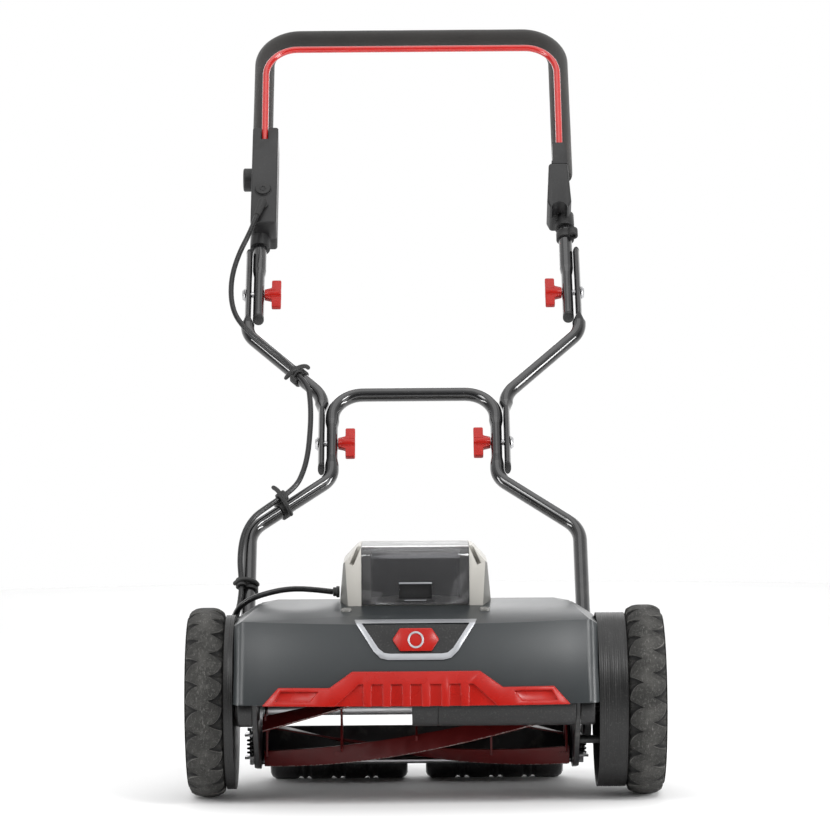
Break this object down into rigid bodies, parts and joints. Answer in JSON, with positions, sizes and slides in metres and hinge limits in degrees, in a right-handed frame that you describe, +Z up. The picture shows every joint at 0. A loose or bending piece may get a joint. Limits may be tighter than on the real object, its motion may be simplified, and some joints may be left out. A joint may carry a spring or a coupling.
{
  "type": "reel mower",
  "caption": "Battery-powered push reel mower with helical cutting reel, rear rollers and a folding U-shaped handle with safety bail.",
  "frame": {"origin": "on the ground under the wheel axle, in the middle of the cut", "axes": "+X to the right seen from the front, +Y towards the rear and the handle, +Z up"},
  "size_m": [0.577, 0.9596, 0.9751],
  "materials": {
    "black_paint": "gloss black powder coat",
    "frame_plastic": "satin black moulding",
    "drum_plastic": "fine turned rings",
    "steel": "zinc plated",
    "dark_steel": "black painted steel",
    "cover_grey": "satin dark grey, fine grain",
    "signal_red": "semi-gloss red",
    "red_paint": "gloss red paint",
    "reel_red": "semi-gloss wine red paint",
    "silver": "silver lacquer",
    "housing_grey": "light warm grey",
    "smoke_lid": "smoked clear plastic",
    "pack_black": "fine grain",
    "tyre_rubber": "dusty matt rubber",
    "rim_black": "satin moulding",
    "roller_black": "satin",
    "foam": "fine cell foam",
    "switch_plastic": "fine grain",
    "soft_rubber": "satin rubber",
    "cable_jacket": "satin jacket"
  },
  "bodies": {
    "chassis": {"side_plate_left": "dark_steel", "side_plate_right": "dark_steel", "rear_tie_bar": "steel", "wheel_axles": "steel", "motor_housing": "frame_plastic", "motor_end_cap": "frame_plastic", "belt_guard": "frame_plastic", "front_stay": "frame_plastic", "drive_cover": "drum_plastic", "cover_ring": "drum_plastic", "bed_knife_beam": "dark_steel", "bed_knife": "steel", "blade_adjusters": "steel", "adjuster_springs": "dark_steel", "reel_bearings": "steel", "drive_belt": "soft_rubber", "cover_shell": "cover_grey", "grille_trim": "signal_red", "panel_frame": "silver", "badge": "signal_red", "battery_housing": "housing_grey", "battery_pack": "pack_black", "cable_gland": "soft_rubber", "lower_handle": "black_paint", "handle_brackets": "frame_plastic", "lower_bolts": "steel", "cable_lower": "cable_jacket", "cable_ties": "soft_rubber"},
    "reel": {"reel_shaft": "steel", "reel_spiders": "reel_red", "reel_blades": "reel_red", "reel_pulley": "frame_plastic"},
    "rotor": {"motor_rotor": "steel"},
    "wheel_left": {"tyre_left": "tyre_rubber", "rim_left": "rim_black"},
    "wheel_right": {"tyre_right": "tyre_rubber", "rim_right": "rim_black"},
    "roller_frame": {"roller_carriage": "dark_steel", "roller_shaft": "steel"},
    "roller_left": {"roller_left": "roller_black"},
    "roller_right": {"roller_right": "roller_black"},
    "middle_frame": {"middle_tubes": "black_paint", "middle_caps_and_tie": "soft_rubber", "cable_middle": "cable_jacket", "upper_bolts": "steel"},
    "upper_handle": {"upper_tube": "black_paint", "upper_caps_and_clip": "soft_rubber", "foam_grip": "foam", "switch_box_front": "switch_plastic", "switch_box_rear": "switch_plastic", "switch_fittings": "soft_rubber", "bail_bracket": "switch_plastic", "cable_upper": "cable_jacket"},
    "bail": {"safety_bail": "red_paint"},
    "button": {"lock_button": "switch_plastic"},
    "lid": {"battery_lid": "smoke_lid"},
    "knob_lower_left": {"knob_lower_left": "signal_red"},
    "knob_lower_right": {"knob_lower_right": "signal_red"},
    "knob_upper_left": {"knob_upper_left": "signal_red"},
    "knob_upper_right": {"knob_upper_right": "signal_red"}
  },
  "joints": [
    {"name": "wheel_left_spin", "type": "hinge", "parent": "chassis", "child": "wheel_left", "pos_m": [-0.254, 0, 0.115], "axis": [1, 0, 0], "continuous": true},
    {"name": "wheel_right_spin", "type": "hinge", "parent": "chassis", "child": "wheel_right", "pos_m": [0.277, 0, 0.115], "axis": [1, 0, 0], "continuous": true},
    {"name": "cut_height", "type": "hinge", "parent": "chassis", "child": "roller_frame", "pos_m": [0, 0.105, 0.092], "axis": [1, 0, 0], "range_deg": [-16, 0]},
    {"name": "roller_left_spin", "type": "hinge", "parent": "roller_frame", "child": "roller_left", "pos_m": [-0.0975, 0.15, 0.025], "axis": [1, 0, 0], "continuous": true},
    {"name": "roller_right_spin", "type": "hinge", "parent": "roller_frame", "child": "roller_right", "pos_m": [0.0975, 0.15, 0.025], "axis": [1, 0, 0], "continuous": true},
    {"name": "reel_spin", "type": "hinge", "parent": "chassis", "child": "reel", "pos_m": [0, 0, 0.106], "axis": [1, 0, 0], "continuous": true},
    {"name": "rotor_spin", "type": "hinge", "parent": "chassis", "child": "rotor", "pos_m": [0.1, -0.097, 0.12], "axis": [1, 0, 0], "continuous": true},
    {"name": "lower_fold", "type": "hinge", "parent": "chassis", "child": "middle_frame", "pos_m": [0, 0.30699, 0.41374], "axis": [1, 0, 0], "range_deg": [0, 150], "deforming": ["cable_middle"]},
    {"name": "upper_fold", "type": "hinge", "parent": "middle_frame", "child": "upper_handle", "pos_m": [0, 0.47929, 0.6051], "axis": [1, 0, 0], "range_deg": [-160, 0], "deforming": ["cable_upper"]},
    {"name": "bail_squeeze", "type": "hinge", "parent": "upper_handle", "child": "bail", "pos_m": [0, 0.61234, 0.78202], "axis": [1, 0, 0], "range_deg": [-7, 0], "stiffness_Nm_per_rad": 1.5, "springref_deg": 28.65},
    {"name": "button_press", "type": "slide", "parent": "upper_handle", "child": "button", "axis": [1, 0, 0], "range_m": [0, 0.0035], "stiffness_N_per_m": 300, "springref_m": -0.004},
    {"name": "lid_hinge", "type": "hinge", "parent": "chassis", "child": "lid", "pos_m": [0, 0.09, 0.3], "axis": [1, 0, 0], "range_deg": [-95, 0]},
    {"name": "knob_lower_left_turn", "type": "hinge", "parent": "chassis", "child": "knob_lower_left", "pos_m": [-0.088, 0.30699, 0.41374], "axis": [1, 0, 0], "continuous": true},
    {"name": "knob_lower_right_turn", "type": "hinge", "parent": "chassis", "child": "knob_lower_right", "pos_m": [0.088, 0.30699, 0.41374], "axis": [1, 0, 0], "continuous": true},
    {"name": "knob_upper_left_turn", "type": "hinge", "parent": "middle_frame", "child": "knob_upper_left", "pos_m": [-0.188, 0.47929, 0.6051], "axis": [1, 0, 0], "continuous": true},
    {"name": "knob_upper_right_turn", "type": "hinge", "parent": "middle_frame", "child": "knob_upper_right", "pos_m": [0.188, 0.47929, 0.6051], "axis": [1, 0, 0], "continuous": true}
  ],
  "couplings": [
    {"joint": "rotor_spin", "follows": "reel_spin", "ratio": 4}
  ]
}
